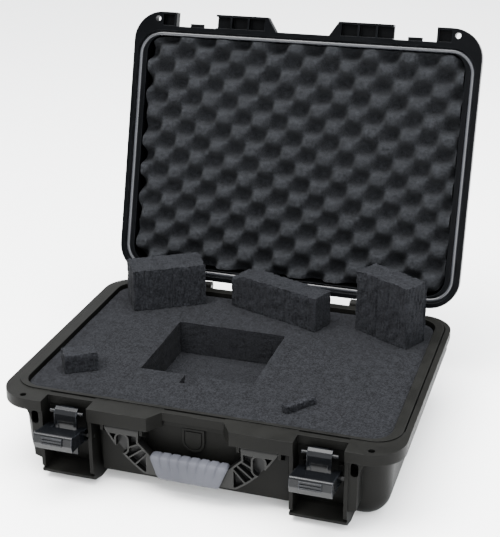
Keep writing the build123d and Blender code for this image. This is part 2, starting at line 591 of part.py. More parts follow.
with BuildPart() as valve_cover:
    with BuildSketch(Plane.XZ.offset(-BODY_FRONT)) as shield:
        with Locations((VALVE_X, VALVE_Z + 5)):
            Rectangle(2 * COVER_HALF, 18)
        with Locations((VALVE_X, VALVE_Z - 3)):
            Circle(COVER_HALF)
    extrude(amount=COVER_THICK)
    # a border round a slightly sunk middle
    with BuildSketch(Plane.XZ.offset(-BODY_FRONT + COVER_THICK)):
        offset(shield.sketch, amount=-COVER_BORDER)
        offset(shield.sketch, amount=-COVER_BORDER - 1.6, mode=Mode.SUBTRACT)
    extrude(amount=-COVER_THICK / 2, mode=Mode.SUBTRACT)
save(valve_cover.part, "valve_cover")
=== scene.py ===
"""Looks of an open hard equipment case with plucked foam, built round its fixed frame."""

import logging
import math
from dataclasses import dataclass, field
from enum import Enum

import bmesh
import bpy
import numpy as np
from mathutils import Matrix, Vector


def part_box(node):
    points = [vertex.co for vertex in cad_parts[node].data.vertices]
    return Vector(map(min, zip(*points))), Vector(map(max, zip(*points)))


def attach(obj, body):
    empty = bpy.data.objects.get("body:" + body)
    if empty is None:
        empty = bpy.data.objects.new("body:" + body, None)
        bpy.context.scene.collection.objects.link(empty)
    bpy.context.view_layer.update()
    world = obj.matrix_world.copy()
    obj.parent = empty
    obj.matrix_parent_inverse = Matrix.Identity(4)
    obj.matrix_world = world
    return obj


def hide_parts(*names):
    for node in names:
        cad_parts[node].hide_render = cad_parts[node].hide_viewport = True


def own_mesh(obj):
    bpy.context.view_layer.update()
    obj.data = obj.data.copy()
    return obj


logging.basicConfig(level=logging.INFO, format="%(message)s")
log = logging.getLogger("equipment_case")

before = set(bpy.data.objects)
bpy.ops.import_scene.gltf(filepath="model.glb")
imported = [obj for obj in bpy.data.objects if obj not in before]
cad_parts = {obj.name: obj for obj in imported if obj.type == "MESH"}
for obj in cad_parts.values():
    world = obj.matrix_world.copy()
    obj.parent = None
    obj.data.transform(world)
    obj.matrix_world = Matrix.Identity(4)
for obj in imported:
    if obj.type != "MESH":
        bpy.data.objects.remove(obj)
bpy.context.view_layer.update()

MM = 0.001
RIM = 108 * MM                    # parting plane of the two shells
HINGE_Y = 189 * MM
OPEN_ANGLE = math.radians(105.7)
FOAM_CORNER = 25 * MM
CUBE = 18.75 * MM                 # pitch of the dicing in the foam
POCKET = (-108.5 * MM, -75 * MM, 41.5 * MM, 69 * MM)
SIDES = ("left", "right")


class Finish(Enum):
    """Slots of the record named for new pieces; nothing in this script reads them."""

    FOAM = "foam"
    GRIP = "grip"


# ---------------------------------------------------------------- numpy helpers


def wave_noise(points: np.ndarray, pitch: float, seed: int, octaves: int = 3) -> np.ndarray:
    """Smooth repeatable noise: sums of sines along turned directions.

    Each octave is half as high as the one before and twice as fast.

    Args:
        points: Positions in metres, the last axis being x, y, z.
        pitch: Length of the widest wave in metres.
        seed: Number that picks directions and phases.
        octaves: How many layers are summed.

    Returns:
        Values of about -1 to 1, one for each position.
    """
    draw = np.random.default_rng(seed)
    total = np.zeros(points.shape[:-1])
    for octave in range(octaves):
        for _ in range(4):
            direction = draw.normal(size=3)
            direction /= np.linalg.norm(direction)
            phase = draw.uniform(0, math.tau)
            pace = math.tau * 2**octave / pitch * draw.uniform(0.7, 1.3)
            total += np.sin(points @ direction * pace + phase) * 0.5**octave / 4
    return total


def cell_value(index: np.ndarray, seed: int) -> np.ndarray:
    """A repeatable value from 0 to 1 for each whole number."""
    return np.modf(np.abs(np.sin(index * 12.9898 + seed * 78.233)) * 43758.5453)[0]


def between(marks: list[float], step: float) -> np.ndarray:
    """Even steps between marks, each mark kept.

    Args:
        marks: Rising positions that have to be hit.
        step: Widest step allowed.

    Returns:
        All positions in rising order.
    """
    runs = [np.linspace(a, b, max(2, math.ceil((b - a) / step) + 1))[:-1]
            for a, b in zip(marks, marks[1:])]
    return np.append(np.concatenate(runs), marks[-1])


def rounded_corners(x: np.ndarray, y: np.ndarray, low: tuple, high: tuple, radius: float) -> tuple:
    """Round the four corners of a rectangle of points: each corner square is mapped to a quarter disc.

    Args:
        x: Positions across.
        y: Positions along.
        low: Lowest corner of the rectangle.
        high: Highest corner of the rectangle.
        radius: Corner radius.

    Returns:
        The moved x and y.
    """
    cx, cy = (low[0] + high[0]) / 2, (low[1] + high[1]) / 2
    hx, hy = (high[0] - low[0]) / 2 - radius, (high[1] - low[1]) / 2 - radius
    a = np.clip((np.abs(x - cx) - hx) / radius, 0, 1)
    b = np.clip((np.abs(y - cy) - hy) / radius, 0, 1)
    inside = (a > 0) & (b > 0)
    new_x = cx + np.sign(x - cx) * (hx + radius * a * np.sqrt(1 - b * b / 2))
    new_y = cy + np.sign(y - cy) * (hy + radius * b * np.sqrt(1 - a * a / 2))
    return np.where(inside, new_x, x), np.where(inside, new_y, y)


def mesh_piece(name: str, vertices: np.ndarray, quads: np.ndarray, triangles: np.ndarray | None = None,
               smooth: bool = True) -> bpy.types.Object:
    """Make an object from arrays of vertices and faces.

    Args:
        name: Name of the object.
        vertices: Rows of x, y, z in metres.
        quads: Rows of four vertex numbers.
        triangles: Rows of three vertex numbers, if any.
        smooth: Whether faces are shaded smooth.

    Returns:
        The linked object, at the origin.
    """
    triangles = np.zeros((0, 3), int) if triangles is None else triangles
    mesh = bpy.data.meshes.new(name)
    mesh.vertices.add(len(vertices))
    mesh.vertices.foreach_set("co", np.ascontiguousarray(vertices, np.float32).ravel())
    loops = np.concatenate([quads.ravel(), triangles.ravel()]).astype(np.int32)
    sizes = np.concatenate([np.full(len(quads), 4), np.full(len(triangles), 3)])
    mesh.loops.add(len(loops))
    mesh.loops.foreach_set("vertex_index", loops)
    mesh.polygons.add(len(sizes))
    mesh.polygons.foreach_set("loop_start", (np.cumsum(sizes) - sizes).astype(np.int32))
    mesh.polygons.foreach_set("use_smooth", np.full(len(sizes), smooth))
    mesh.update(calc_edges=True)
    mesh.validate()
    piece = bpy.data.objects.new(name, mesh)
    bpy.context.scene.collection.objects.link(piece)
    return piece


def swing_open(points: np.ndarray) -> np.ndarray:
    """Turn points from the shut lid's place to the open lid's, about the hinge line.

    Args:
        points: Positions in metres, with the lid shut.

    Returns:
        The positions with the lid open.
    """
    y, z = points[..., 1] - HINGE_Y, points[..., 2] - RIM
    turned = points.copy()
    turned[..., 1] = HINGE_Y + y * math.cos(OPEN_ANGLE) + z * math.sin(OPEN_ANGLE)
    turned[..., 2] = RIM - y * math.sin(OPEN_ANGLE) + z * math.cos(OPEN_ANGLE)
    return turned


@dataclass
class Slab:
    """A block of foam as a grid from above, with sides in rows and optional holes right through.

    The top is a height over (x, y). The sides hang from the edges of the kept cells to a flat underside.
    """

    x: np.ndarray
    y: np.ndarray
    low: float
    high: float
    rows: int = 12
    radius: float = 0.0
    holes: list[tuple] = field(default_factory=list)

    def build(self) -> tuple[np.ndarray, np.ndarray, np.ndarray]:
        """Work the surface out.

        Returns:
            Vertices of shape (level, across, along, 3), the quads, and the outward direction of each
            side vertex.
        """
        nx, ny, levels = len(self.x), len(self.y), self.rows + 1        # vertices across, along and up
        gx, gy = np.meshgrid(self.x, self.y, indexing="ij")
        keep = np.ones((nx - 1, ny - 1), bool)
        mid_x, mid_y = (self.x[1:] + self.x[:-1]) / 2, (self.y[1:] + self.y[:-1]) / 2
        for x0, y0, x1, y1 in self.holes:
            keep &= ~(((mid_x > x0) & (mid_x < x1))[:, None] & ((mid_y > y0) & (mid_y < y1))[None, :])
        if self.radius:
            gx, gy = rounded_corners(gx, gy, (self.x[0], self.y[0]), (self.x[-1], self.y[-1]), self.radius)
        heights = np.linspace(self.low, self.high, levels)
        points = np.stack([np.broadcast_to(gx, (levels, nx, ny)), np.broadcast_to(gy, (levels, nx, ny)),
                           np.broadcast_to(heights[:, None, None], (levels, nx, ny))], -1).copy()
        number = np.arange(levels * nx * ny).reshape(levels, nx, ny)
        padded = np.pad(keep, 1)
        i, j = np.nonzero(keep)
        top, bottom = number[-1], number[0]
        faces = [np.stack([top[i, j], top[i + 1, j], top[i + 1, j + 1], top[i, j + 1]], 1),
                 np.stack([bottom[i, j], bottom[i, j + 1], bottom[i + 1, j + 1], bottom[i + 1, j]], 1)]
        outward = np.zeros((nx, ny, 2))
        # an edge between a kept cell and an empty one carries a side, walked with the cell on its left
        for (di, dj), (a, b) in {(1, 0): ((1, 0), (1, 1)), (-1, 0): ((0, 1), (0, 0)),
                                 (0, 1): ((1, 1), (0, 1)), (0, -1): ((0, 0), (1, 0))}.items():
            edge = keep & ~padded[1 + di:nx + di, 1 + dj:ny + dj]
            i, j = np.nonzero(edge)
            for k in range(levels - 1):
                faces.append(np.stack([number[k, i + a[0], j + a[1]], number[k, i + b[0], j + b[1]],
                                       number[k + 1, i + b[0], j + b[1]],
                                       number[k + 1, i + a[0], j + a[1]]], 1))
            for corner in (a, b):
                np.add.at(outward, (i + corner[0], j + corner[1]), (di, dj))
        length = np.maximum(np.linalg.norm(outward, axis=-1, keepdims=True), 1e-9)
        return points, np.concatenate(faces), outward / length


def side_run(points: np.ndarray, outward: np.ndarray) -> np.ndarray:
    """How far along its own side each side vertex lies: x on sides that face Y, y on sides that face X."""
    return points[..., 0] * np.abs(outward[..., 1]) + points[..., 1] * np.abs(outward[..., 0])


def push(points: np.ndarray, outward: np.ndarray, amount: np.ndarray) -> None:
    """Move the side vertices of a slab outwards, in place.

    Args:
        points: Vertices as Slab makes them.
        outward: Outward direction of each side vertex.
        amount: How far each one moves, in metres.
    """
    points[..., 0] += outward[..., 0] * amount
    points[..., 1] += outward[..., 1] * amount


def compact(points: np.ndarray, quads: np.ndarray) -> tuple[np.ndarray, np.ndarray]:
    """Drop vertices that no face uses and number the rest afresh."""
    used, renumbered = np.unique(quads, return_inverse=True)
    return points.reshape(-1, 3)[used], renumbered.reshape(quads.shape)


# ---------------------------------------------------------------- shader groups


class NodeSheet:
    """A node tree that is filled by short calls."""

    def __init__(self, tree: bpy.types.NodeTree) -> None:
        """Keep the tree.

        Args:
            tree: The node tree to fill.
        """
        self.tree = tree

    def node(self, kind: str, inputs: dict | None = None, **settings: object) -> bpy.types.Node:
        """Add a node.

        Args:
            kind: Name of the node's type after ShaderNode.
            inputs: Values or sockets for its inputs, by name or number.
            settings: Properties of the node.

        Returns:
            The node.
        """
        made = self.tree.nodes.new("ShaderNode" + kind)
        for key, value in settings.items():
            setattr(made, key, value)
        for key, value in (inputs or {}).items():
            self.put(made.inputs[key], value)
        return made

    def put(self, socket: bpy.types.NodeSocket, value: object) -> None:
        """Feed an input from a socket or set it to a plain value.

        Args:
            socket: The input.
            value: An output socket, a number or a colour.
        """
        if isinstance(value, bpy.types.NodeSocket):
            self.tree.links.new(value, socket)
        else:
            socket.default_value = value

    def maths(self, operation: str, a: object, b: object = 0.5,
              clamp: bool = False) -> bpy.types.NodeSocket:
        """A math node's result."""
        return self.node("Math", {0: a, 1: b}, operation=operation, use_clamp=clamp).outputs[0]

    def mix(self, factor: object, a: object, b: object) -> bpy.types.NodeSocket:
        """A mix of two colours.

        Args:
            factor: Share of the second colour.
            a: First colour.
            b: Second colour.

        Returns:
            The mixed colour.
        """
        made = self.node("Mix", data_type="RGBA")
        for key, value in ((0, factor), (6, a), (7, b)):
            self.put(made.inputs[key], value)
        return made.outputs[2]

    def ramp(self, value: bpy.types.NodeSocket, low: float, high: float) -> bpy.types.NodeSocket:
        """A value spread to 0 at low and 1 at high."""
        made = self.node("MapRange", {"Value": value, "From Min": low, "From Max": high}, clamp=True)
        return made.outputs["Result"]


def new_group(name: str, inputs: dict[str, float],
              outputs: dict[str, str]) -> tuple[NodeSheet, dict, bpy.types.Node]:
    """Start a shader node group with named sockets.

    Args:
        name: Name of the group.
        inputs: Number inputs and their defaults.
        outputs: Output names and their socket types.

    Returns:
        The sheet, the input sockets by name and the output node.
    """
    tree = bpy.data.node_groups.new(name, "ShaderNodeTree")
    for title, default in inputs.items():
        socket = tree.interface.new_socket(title, in_out="INPUT", socket_type="NodeSocketFloat")
        socket.default_value = default
    for title, kind in outputs.items():
        tree.interface.new_socket(title, in_out="OUTPUT", socket_type=kind)
    sheet = NodeSheet(tree)
    source = tree.nodes.new("NodeGroupInput")
    target = tree.nodes.new("NodeGroupOutput")
    return sheet, {title: source.outputs[title] for title in inputs}, target


def mould_grain() -> bpy.types.NodeTree:
    """Moulded texture: fine rounded pits over slow mottling.

    Returns:
        A group with Height for bump and Mottle for colour and roughness.
    """
    sheet, given, out = new_group("mould_grain", {"Pits": 900.0, "Mottle Scale": 14.0},
                                  {"Height": "NodeSocketFloat", "Mottle": "NodeSocketFloat"})
    place = sheet.node("TexCoord").outputs["Object"]
    pits = sheet.node("TexVoronoi", {"Vector": place, "Scale": given["Pits"]}, feature="SMOOTH_F1")
    fine = sheet.node("TexNoise", {"Vector": place, "Scale": given["Pits"], "Detail": 2.0})
    slow = sheet.node("TexNoise", {"Vector": place, "Scale": given["Mottle Scale"], "Detail": 5.0})
    height = sheet.maths("ADD", pits.outputs["Distance"], sheet.maths("MULTIPLY", fine.outputs[0], 0.6))
    sheet.tree.links.new(height, out.inputs["Height"])
    sheet.tree.links.new(sheet.ramp(slow.outputs[0], 0.3, 0.7), out.inputs["Mottle"])
    return sheet.tree


def edge_wear() -> bpy.types.NodeTree:
    """Rubbed edges: where a rounded normal differs from the real one, broken up by noise.

    Returns:
        A group with a Mask that is 1 on a rubbed edge.
    """
    sheet, given, out = new_group("edge_wear", {"Radius": 1.2 * MM, "Breakup": 60.0},
                                  {"Mask": "NodeSocketFloat"})
    place = sheet.node("TexCoord").outputs["Object"]
    rounded = sheet.node("Bevel", {"Radius": given["Radius"]}, samples=6).outputs[0]
    plain = sheet.node("NewGeometry").outputs["Normal"]
    agree = sheet.node("VectorMath", {0: rounded, 1: plain}, operation="DOT_PRODUCT").outputs["Value"]
    edge = sheet.ramp(agree, 0.97, 0.8)
    noise = sheet.node("TexNoise", {"Vector": place, "Scale": given["Breakup"], "Detail": 4.0})
    mask = sheet.maths("MULTIPLY", edge, sheet.ramp(noise.outputs[0], 0.35, 0.6))
    sheet.tree.links.new(mask, out.inputs["Mask"])
    return sheet.tree


def settled_dust() -> bpy.types.NodeTree:
    """Light dust on faces that look up, in soft patches.

    Returns:
        A group with a Mask of how dusty a place is.
    """
    sheet, given, out = new_group("settled_dust", {"Amount": 0.3}, {"Mask": "NodeSocketFloat"})
    place = sheet.node("TexCoord").outputs["Object"]
    normal = sheet.node("SeparateXYZ", {0: sheet.node("NewGeometry").outputs["Normal"]}).outputs["Z"]
    patches = sheet.node("TexNoise", {"Vector": place, "Scale": 35.0, "Detail": 8.0, "Roughness": 0.7})
    mask = sheet.maths("MULTIPLY", sheet.ramp(normal, 0.3, 1.0), sheet.ramp(patches.outputs[0], 0.35, 0.75))
    sheet.tree.links.new(sheet.maths("MULTIPLY", mask, given["Amount"]), out.inputs["Mask"])
    return sheet.tree


def corner_shade() -> bpy.types.NodeTree:
    """Painted shade in corners and hollows: how much of the sky a place is cut off from, broken up a little.

    Returns:
        A group with a Mask that is 1 deep in a hollow.
    """
    sheet, given, out = new_group("corner_shade", {"Reach": 30 * MM, "Breakup": 70.0},
                                  {"Mask": "NodeSocketFloat"})
    place = sheet.node("TexCoord").outputs["Object"]
    open_sky = sheet.node("AmbientOcclusion", {"Distance": given["Reach"]}, samples=8).outputs["AO"]
    noise = sheet.node("TexNoise", {"Vector": place, "Scale": given["Breakup"], "Detail": 3.0})
    uneven = sheet.maths("MULTIPLY", sheet.maths("SUBTRACT", noise.outputs[0], 0.5), 0.15)
    spread = sheet.maths("ADD", open_sky, uneven)
    sheet.tree.links.new(sheet.ramp(spread, 0.75, 0.15), out.inputs["Mask"])
    return sheet.tree


def foam_cells() -> bpy.types.NodeTree:
    """Open-cell foam: fine pores, grains of two millimetres and larger soft clumps.

    Returns:
        A group with Height for bump and Speckle for colour.
    """
    sheet, given, out = new_group("foam_cells", {"Pores": 1300.0, "Grains": 420.0, "Clumps": 90.0},
                                  {"Height": "NodeSocketFloat", "Speckle": "NodeSocketFloat"})
    place = sheet.node("TexCoord").outputs["Object"]
    pores = sheet.node("TexVoronoi", {"Vector": place, "Scale": given["Pores"]})
    grains = sheet.node("TexNoise", {"Vector": place, "Scale": given["Grains"], "Detail": 3.0,
                                     "Roughness": 0.7})
    clumps = sheet.node("TexNoise", {"Vector": place, "Scale": given["Clumps"], "Detail": 6.0,
                                     "Roughness": 0.75})
    height = sheet.maths("ADD", pores.outputs["Distance"], sheet.maths("MULTIPLY", grains.outputs[0], 2.0))
    speckle = sheet.maths("ADD", sheet.maths("MULTIPLY", sheet.ramp(grains.outputs[0], 0.38, 0.62), 0.75),
                          sheet.maths("MULTIPLY", sheet.ramp(clumps.outputs[0], 0.4, 0.6), 0.25))
    sheet.tree.links.new(height, out.inputs["Height"])
    sheet.tree.links.new(speckle, out.inputs["Speckle"])
    return sheet.tree


def dice_lines() -> bpy.types.NodeTree:
    """Faint lines of the cut cubes, at a pitch along X and Y.

    Returns:
        A group with a Line that is 1 on a cut and 0 elsewhere.
    """
    sheet, given, out = new_group("dice_lines", {"Pitch X": CUBE, "Pitch Y": CUBE, "Width": 0.02},
                                  {"Line": "NodeSocketFloat"})
    parts = sheet.node("SeparateXYZ", {0: sheet.node("TexCoord").outputs["Object"]})
    lines = []
    for axis, pitch, edge in (("X", "Pitch X", POCKET[0]), ("Y", "Pitch Y", POCKET[1])):
        # ten more cubes keep the count above 0
        from_edge = sheet.maths("ADD", parts.outputs[axis], 10 * CUBE - edge)
        turn = sheet.maths("DIVIDE", from_edge, given[pitch])
        within = sheet.maths("FRACT", sheet.maths("ADD", turn, 0.5))
        off = sheet.maths("ABSOLUTE", sheet.maths("SUBTRACT", within, 0.5))
        lines.append(sheet.maths("LESS_THAN", off, given["Width"]))
    sheet.tree.links.new(sheet.maths("MAXIMUM", *lines), out.inputs["Line"])
    return sheet.tree


# ---------------------------------------------------------------- finishes

DUST = (0.022, 0.022, 0.02, 1.0)
# painted shade colour for the floors of the bow's hollows
HOLLOW_SHADE = (0.0012, 0.0012, 0.0012, 1.0)        # floors of the bow's hollows
BLACK = (0.0, 0.0, 0.0, 1.0)


@dataclass(frozen=True)
class Plastic:
    """A moulded plastic or metal finish."""

    name: str
    colour: tuple[float, float, float]
    worn: tuple[float, float, float]
    roughness: float
    pits: float
    bump: float
    wear: float = 0.6
    dust: float = 0.12
    metallic: float = 0.0
    coat: float = 0.0
    specular: float = 0.5
    # share of painted shade, mixed towards black in corners and hollows
    grime: float = 0.75
    # stretch of Y over which painted shade darkens the hollows
    floor: tuple[float, float] | None = None      # stretch of Y over which hollows get dark

    def make(self, groups: dict[str, bpy.types.NodeTree]) -> bpy.types.Material:
        """Build the material.

        Args:
            groups: Shared node groups by name.

        Returns:
            The material.
        """
        material = bpy.data.materials.new(self.name)
        material.use_nodes = True
        sheet = NodeSheet(material.node_tree)
        shader = material.node_tree.nodes["Principled BSDF"]
        grain = sheet.node("Group", node_tree=groups["mould_grain"])
        grain.inputs["Pits"].default_value = self.pits
        worn = sheet.node("Group", node_tree=groups["edge_wear"])
        dust = sheet.node("Group", node_tree=groups["settled_dust"])
        shade = sheet.node("Group", node_tree=groups["corner_shade"])
        dust.inputs["Amount"].default_value = self.dust
        light = (*(c * 1.25 for c in self.colour), 1.0)
        dark = (*(c * 0.85 for c in self.colour), 1.0)
        base = sheet.mix(grain.outputs["Mottle"], dark, light)
        base = sheet.mix(sheet.maths("MULTIPLY", worn.outputs["Mask"], self.wear), base, (*self.worn, 1.0))
        base = sheet.mix(dust.outputs["Mask"], base, DUST)
        # painted shade: corners and hollows darkened towards black by how cut off they are from the sky
        base = sheet.mix(sheet.maths("MULTIPLY", shade.outputs["Mask"], self.grime), base, BLACK)
        # painted shade: the deeper along Y, the more the bow's hollows are mixed towards a near-black shade
        # colour
        if self.floor:
            depth = sheet.node("SeparateXYZ", {0: sheet.node("TexCoord").outputs["Object"]}).outputs["Y"]
            base = sheet.mix(sheet.ramp(depth, *self.floor), base, HOLLOW_SHADE)
        sheet.tree.links.new(base, shader.inputs["Base Color"])
        mottled = sheet.maths("MULTIPLY", grain.outputs["Mottle"], 0.12)
        rough = sheet.maths("ADD", mottled, self.roughness - 0.06)
        rough = sheet.maths("ADD", rough, sheet.maths("MULTIPLY", dust.outputs["Mask"], 0.5), clamp=True)
        sheet.tree.links.new(rough, shader.inputs["Roughness"])
        eased = sheet.node("Bevel", {"Radius": 0.9 * MM}, samples=6).outputs[0]
        bump = sheet.node("Bump", {"Height": grain.outputs["Height"], "Strength": self.bump,
                                   "Distance": 0.4 * MM, "Normal": eased})
        sheet.tree.links.new(bump.outputs[0], shader.inputs["Normal"])
        shader.inputs["Metallic"].default_value = self.metallic
        shader.inputs["Specular IOR Level"].default_value = self.specular
        shader.inputs["Coat Weight"].default_value = self.coat
        shader.inputs["Coat Roughness"].default_value = 0.06
        return material


@dataclass(frozen=True)
class Foam:
    """Open-cell foam, with or without the lines of its dicing."""

    name: str
    dark: tuple[float, float, float]
    light: tuple[float, float, float]
    lines: float = 0.0

    def make(self, groups: dict[str, bpy.types.NodeTree]) -> bpy.types.Material:
        """Build the material.

        Args:
            groups: Shared node groups by name.

        Returns:
            The material.
        """
        material = bpy.data.materials.new(self.name)
        material.use_nodes = True
        sheet = NodeSheet(material.node_tree)
        shader = material.node_tree.nodes["Principled BSDF"]
        cells = sheet.node("Group", node_tree=groups["foam_cells"])
        base = sheet.mix(cells.outputs["Speckle"], (*self.dark, 1.0), (*self.light, 1.0))
        if self.lines:
            cuts = sheet.node("Group", node_tree=groups["dice_lines"])
            base = sheet.mix(sheet.maths("MULTIPLY", cuts.outputs["Line"], self.lines), base, BLACK)
        sheet.tree.links.new(base, shader.inputs["Base Color"])
        bump = sheet.node("Bump", {"Height": cells.outputs["Height"], "Strength": 0.55,
                                   "Distance": 0.8 * MM})
        sheet.tree.links.new(bump.outputs[0], shader.inputs["Normal"])
        shader.inputs["Roughness"].default_value = 0.95
        shader.inputs["Sheen Weight"].default_value = 0.005
        shader.inputs["Sheen Roughness"].default_value = 0.6
        shader.inputs["Specular IOR Level"].default_value = 0.03
        return material


class Palette:
    """Every material of the case, made once."""

    def __init__(self) -> None:
        """Make the shared groups and the materials."""
        made = (mould_grain(), edge_wear(), settled_dust(), corner_shade(), foam_cells(), dice_lines())
        self.groups = {group.name: group for group in made}
        self.shell = self.plastic("shell_plastic", (0.0026, 0.0026, 0.0023), (0.014, 0.014, 0.0135),
                                  0.5, 1100.0, 0.3, specular=0.045)
        self.lid = self.plastic("lid_plastic", (0.0008, 0.0009, 0.0011), (0.012, 0.013, 0.015),
                                0.3, 1400.0, 0.1, specular=0.025)
        # the bow takes full painted shade in its corners and painted shade on its hollow floors
        self.bow = self.plastic("bow_plastic", (0.0035, 0.0035, 0.0032), (0.03, 0.03, 0.029),
                                0.42, 1500.0, 0.1, wear=0.9, specular=0.12, grime=1.0,
                                floor=(-196.5 * MM, -189 * MM))
        self.grip = self.plastic("grip_rubber", (0.03, 0.031, 0.037), (0.05, 0.05, 0.056),
                                 0.6, 1200.0, 0.2, wear=0.4, dust=0.03, specular=0.1)
        self.latch = self.plastic("latch_plastic", (0.0014, 0.0016, 0.002), (0.05, 0.055, 0.066),
                                  0.24, 500.0, 0.03, wear=0.5, dust=0.02, coat=0.03, specular=0.14)
        self.seal = self.plastic("seal_rubber", (0.014, 0.0148, 0.0172), (0.024, 0.024, 0.026),
                                 0.3, 900.0, 0.06, wear=0.2, specular=0.4, grime=0.3)
        self.steel = self.plastic("pin_steel", (0.12, 0.12, 0.123), (0.2, 0.2, 0.2),
                                  0.32, 400.0, 0.05, metallic=1.0, wear=0.3, dust=0.02)
        self.dark_steel = self.plastic("dark_steel", (0.004, 0.004, 0.0043), (0.02, 0.02, 0.02),
                                       0.45, 400.0, 0.05, metallic=0.6, wear=0.2, dust=0.02)
        self.diced = self.foam("diced_foam", (0.0025, 0.0026, 0.003), (0.0092, 0.0096, 0.011), 0.2)
        self.block = self.foam("block_foam", (0.0022, 0.0023, 0.0027), (0.0112, 0.0118, 0.0136))
        self.crate = self.foam("crate_foam", (0.0032, 0.0034, 0.0038), (0.0135, 0.0143, 0.016))

    def plastic(self, name: str, colour: tuple, worn: tuple, roughness: float, pits: float, bump: float,
                **more: float) -> bpy.types.Material:
        """Make one moulded finish.

        Args:
            name: Name of the material.
            colour: Its colour.
            worn: Colour of its rubbed edges.
            roughness: How matt it is.
            pits: Scale of the moulded texture.
            bump: Depth of the moulded texture.
            more: Further values of the finish.

        Returns:
            The material.
        """
        return Plastic(name, colour, worn, roughness, pits, bump, **more).make(self.groups)

    def foam(self, name: str, dark: tuple, light: tuple, lines: float = 0.0) -> bpy.types.Material:
        """One foam finish, with dicing lines if lines is above 0."""
        return Foam(name, dark, light, lines).make(self.groups)


def dress(piece: bpy.types.Object, material: bpy.types.Material) -> None:
    """Give an object one material.

    Args:
        piece: The object.
        material: Its material.
    """
    piece.data.materials.clear()
    piece.data.materials.append(material)


def settle(piece: bpy.types.Object, body: str, finish: Finish, *nodes: str) -> bpy.types.Object:
    """Let a piece ride on a body and stand for nodes of the frame.

    Args:
        piece: The new piece.
        body: Name of the body it moves with.
        finish: The record's slot it takes its finish from; not used.
        nodes: Nodes that it stands for.

    Returns:
        The piece.
    """
    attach(piece, body)
    if nodes:
        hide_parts(*nodes)
    log.info("%s: %d vertices on %s", piece.name, len(piece.data.vertices), body)
    return piece


def sharpen(piece: bpy.types.Object, angle: float = 40.0) -> None:
    """Shade smooth but keep edges sharper than an angle.

    Args:
        piece: The object.
        angle: Angle in degrees.
    """
    piece.data.set_sharp_from_angle(angle=math.radians(angle))


def recalculate(piece: bpy.types.Object) -> None:
    """Point every face of a closed piece outwards.

    Args:
        piece: The object.
    """
    mesh = bmesh.new()
    mesh.from_mesh(piece.data)
    bmesh.ops.recalc_face_normals(mesh, faces=mesh.faces)
    mesh.to_mesh(piece.data)
    mesh.free()


# ---------------------------------------------------------------- sub-assemblies


@dataclass
class CaseFoam:
    """The foam in the lower half: the diced layer with its pocket, the layer under it and the floor pad."""

    palette: Palette
    step: float = 3.4 * MM
    pocket: tuple[float, ...] = POCKET
    notch: tuple[float, ...] = (-48 * MM, -98 * MM, -28.5 * MM, -75 * MM)
    cube_step: float = 1.6 * MM      # how far one cube's torn face stands from the next one's
    tear: float = 0.9 * MM           # roughness of a torn face
    cut: float = 1.2 * MM            # depth of the cut between two cubes
    inner: tuple[float, float] = (200 * MM, 130 * MM)     # the pocket's walls lie within this on X and Y
    outer_share: float = 0.12        # share of that roughness on the layer's outer sides

    def top_layer(self) -> None:
        """The diced layer: a slab with the pocket cut through it, its walls ragged where cubes were torn."""
        low, high = (np.array(c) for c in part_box("foam_top_layer"))
        marks = [low[0], self.pocket[0], self.notch[0], self.notch[2], self.pocket[2], high[0]]
        x = between(marks, self.step)
        y = between([low[1], self.notch[1], self.pocket[1], self.pocket[3], high[1]], self.step)
        slab = Slab(x, y, low[2], high[2], 16, FOAM_CORNER, [self.pocket, self.notch])
        points, quads, outward = slab.build()
        level = np.linspace(0, 1, points.shape[0])[:, None, None]
        walls = (np.abs(points[0, ..., 0]) < self.inner[0]) & (np.abs(points[0, ..., 1]) < self.inner[1])
        columns = (side_run(points, outward) + 0.5) / CUBE            # half a metre keeps it above 0
        rough = (cell_value(np.floor(columns), 3) - 0.5) * self.cube_step
        rough += wave_noise(points, 7 * MM, 5) * self.tear
        rough -= np.exp(-((np.modf(columns)[0] - 0.5) ** 2 - 0.25) ** 2 * 900) * self.cut
        calm_foot, calm_top = np.clip(level * 6, 0, 1), 0.45 + 0.55 * np.clip((1 - level) * 5, 0, 1)
        rough *= np.where(walls, 1.0, self.outer_share) * calm_foot * calm_top
        push(points, outward, np.minimum(rough, 0))
        points[-1, ..., 2] += wave_noise(points[-1], 60 * MM, 9) * 0.35 * MM - 0.3 * MM
        piece = mesh_piece("diced_foam_layer", *compact(points, quads))
        dress(piece, self.palette.diced)
        sharpen(piece)
        settle(piece, "base", Finish.FOAM, "foam_top_layer")

    def plain_layer(self, name: str, node: str, corner: float, seed: int) -> None:
        """A layer that is mostly hidden: a slab with a gently uneven top and softened sides.

        Args:
            name: Name of the piece.
            node: The node it stands for.
            corner: Corner radius.
            seed: Number that picks the unevenness.
        """
        low, high = (np.array(c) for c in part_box(node))
        x, y = (between([low[axis], high[axis]], 6 * MM) for axis in (0, 1))
        slab = Slab(x, y, low[2], high[2], 6, corner)
        points, quads, outward = slab.build()
        pinch = np.sin(np.linspace(0, math.pi, points.shape[0]))[:, None, None] * 0.6 * MM
        push(points, outward, -pinch)
        points[-1, ..., 2] += wave_noise(points[-1], 25 * MM, seed) * 0.3 * MM - 0.35 * MM
        piece = mesh_piece(name, *compact(points, quads))
        dress(piece, self.palette.diced)
        sharpen(piece)
        settle(piece, "base", Finish.FOAM, node)

    def build(self) -> None:
        """Make the three layers."""
        self.top_layer()
        self.plain_layer("lower_foam_layer", "foam_lower_layer", FOAM_CORNER, 21)
        self.plain_layer("floor_foam_pad", "foam_bottom_pad", 14 * MM, 22)


